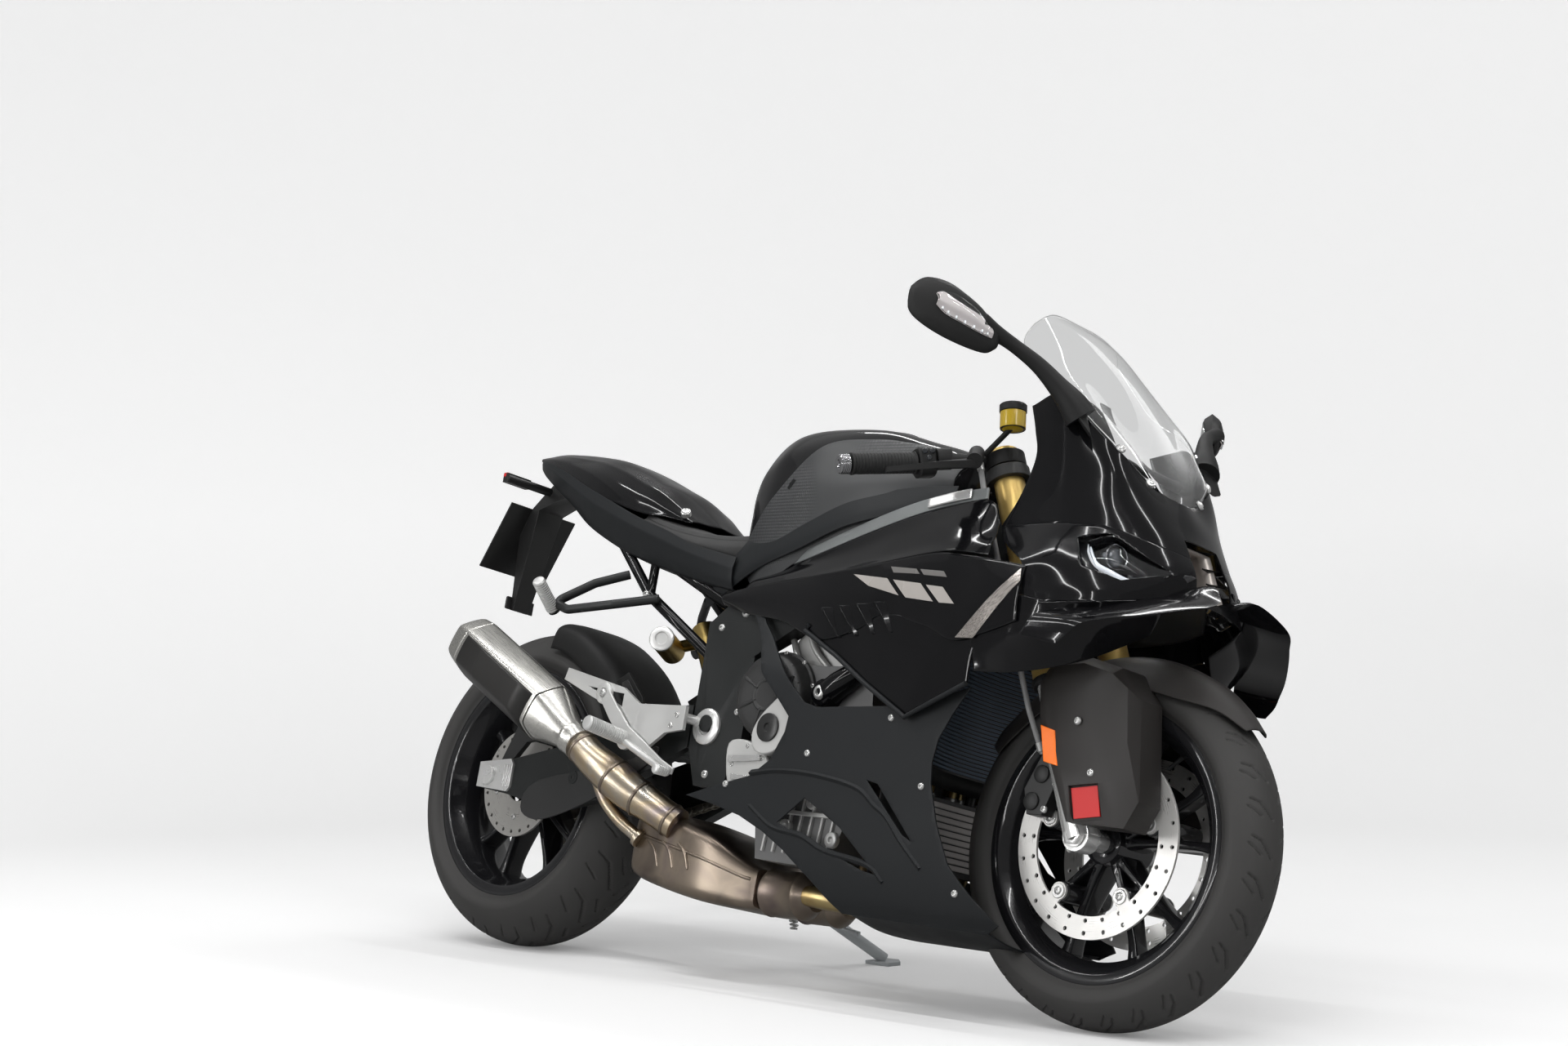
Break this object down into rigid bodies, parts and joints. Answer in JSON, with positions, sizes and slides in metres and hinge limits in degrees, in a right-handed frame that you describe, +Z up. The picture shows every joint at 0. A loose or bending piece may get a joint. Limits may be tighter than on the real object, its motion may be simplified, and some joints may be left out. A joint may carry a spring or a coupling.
{
  "type": "sport bike",
  "caption": "Sport bike leaning on its side stand, with full fairing, clear screen, winglets, gold fork, twin front discs, open engine side, low silencer and humped tail.",
  "frame": {"origin": "on the floor, under the middle of the whole machine's box as it stands on its side stand", "axes": "+X forward, +Y to the rider's left, +Z up"},
  "size_m": [2.0768, 0.8734, 1.2287],
  "materials": {
    "gloss_black": "deep gloss paint",
    "matte_black": "satin black moulding",
    "frame_black": "satin black coat over cast aluminium",
    "engine_silver": "cast, bead blasted",
    "engine_black": "satin black crackle",
    "fork_gold": "gold anodised",
    "bare_alloy": "machined and forged alloy",
    "tyre_rubber": "rubber",
    "disc_steel": "ground steel",
    "silencer_steel": "brushed steel",
    "header_steel": "heat stained steel",
    "chain_steel": "oiled steel",
    "core_alloy": "finned core",
    "grip_rubber": "soft rubber",
    "seat_cover": "grained cover",
    "screen_clear": "clear acrylic",
    "lamp_lens": "clear lens",
    "mirror_glass": "gloss black housing",
    "rear_black": "matte black moulding"
  },
  "bodies": {
    "chassis": {"frame": "frame_black", "subframe": "frame_black", "engine": "engine_silver", "engine_covers": "engine_black", "swingarm": "frame_black", "rear_axle": "bare_alloy", "rear_shock": "fork_gold", "chain": "chain_steel", "rear_caliper": "engine_black", "rear_hugger": "matte_black", "exhaust_headers": "header_steel", "silencer": "silencer_steel", "radiators": "core_alloy", "lower_fairing_right": "matte_black", "lower_fairing_left": "matte_black", "side_fairing_right": "gloss_black", "side_fairing_left": "gloss_black", "nose_fairing": "gloss_black", "winglets": "gloss_black", "headlamps": "lamp_lens", "windscreen": "screen_clear", "mirrors": "mirror_glass", "dash": "matte_black", "fuel_tank": "gloss_black", "rider_seat": "seat_cover", "tail_fairing": "rear_black", "pillion_cowl": "gloss_black", "plate_carrier": "rear_black", "rider_footrests": "bare_alloy", "pillion_footrests": "frame_black", "stand_bracket": "frame_black"},
    "steering": {"fork_tubes": "fork_gold", "fork_feet": "bare_alloy", "triple_clamps": "frame_black", "handlebars": "grip_rubber", "levers": "engine_black", "front_mudguard": "matte_black", "front_calipers": "engine_black", "brake_hoses": "grip_rubber"},
    "front_wheel": {"front_tyre": "tyre_rubber", "front_rim": "gloss_black", "front_discs": "disc_steel"},
    "rear_wheel": {"rear_tyre": "tyre_rubber", "rear_rim": "gloss_black", "rear_disc": "disc_steel", "rear_sprocket": "chain_steel"},
    "side_stand": {"side_stand": "bare_alloy"},
    "fuel_cap": {"fuel_cap": "bare_alloy"}
  },
  "joints": [
    {"name": "steering", "type": "hinge", "parent": "chassis", "child": "steering", "pos_m": [0.71227, -0.17747, 0.28241], "axis": [-0.4003, 0.2128, 0.8913], "range_deg": [-24, 24]},
    {"name": "front_wheel_spin", "type": "hinge", "parent": "steering", "child": "front_wheel", "pos_m": [0.73847, -0.17481, 0.29355], "axis": [0, 0.9727, -0.2323], "continuous": true},
    {"name": "rear_wheel_spin", "type": "hinge", "parent": "chassis", "child": "rear_wheel", "pos_m": [-0.71853, -0.16991, 0.31409], "axis": [0, 0.9727, -0.2323], "continuous": true},
    {"name": "side_stand_fold", "type": "hinge", "parent": "chassis", "child": "side_stand", "pos_m": [-0.11853, -0.0506, 0.13344], "axis": [0, 0.6772, 0.7358], "range_deg": [0, 112]},
    {"name": "fuel_cap_lid", "type": "hinge", "parent": "chassis", "child": "fuel_cap", "pos_m": [0.14747, -0.00593, 1.00079], "axis": [0, 0.9727, -0.2323], "range_deg": [0, 95]}
  ]
}
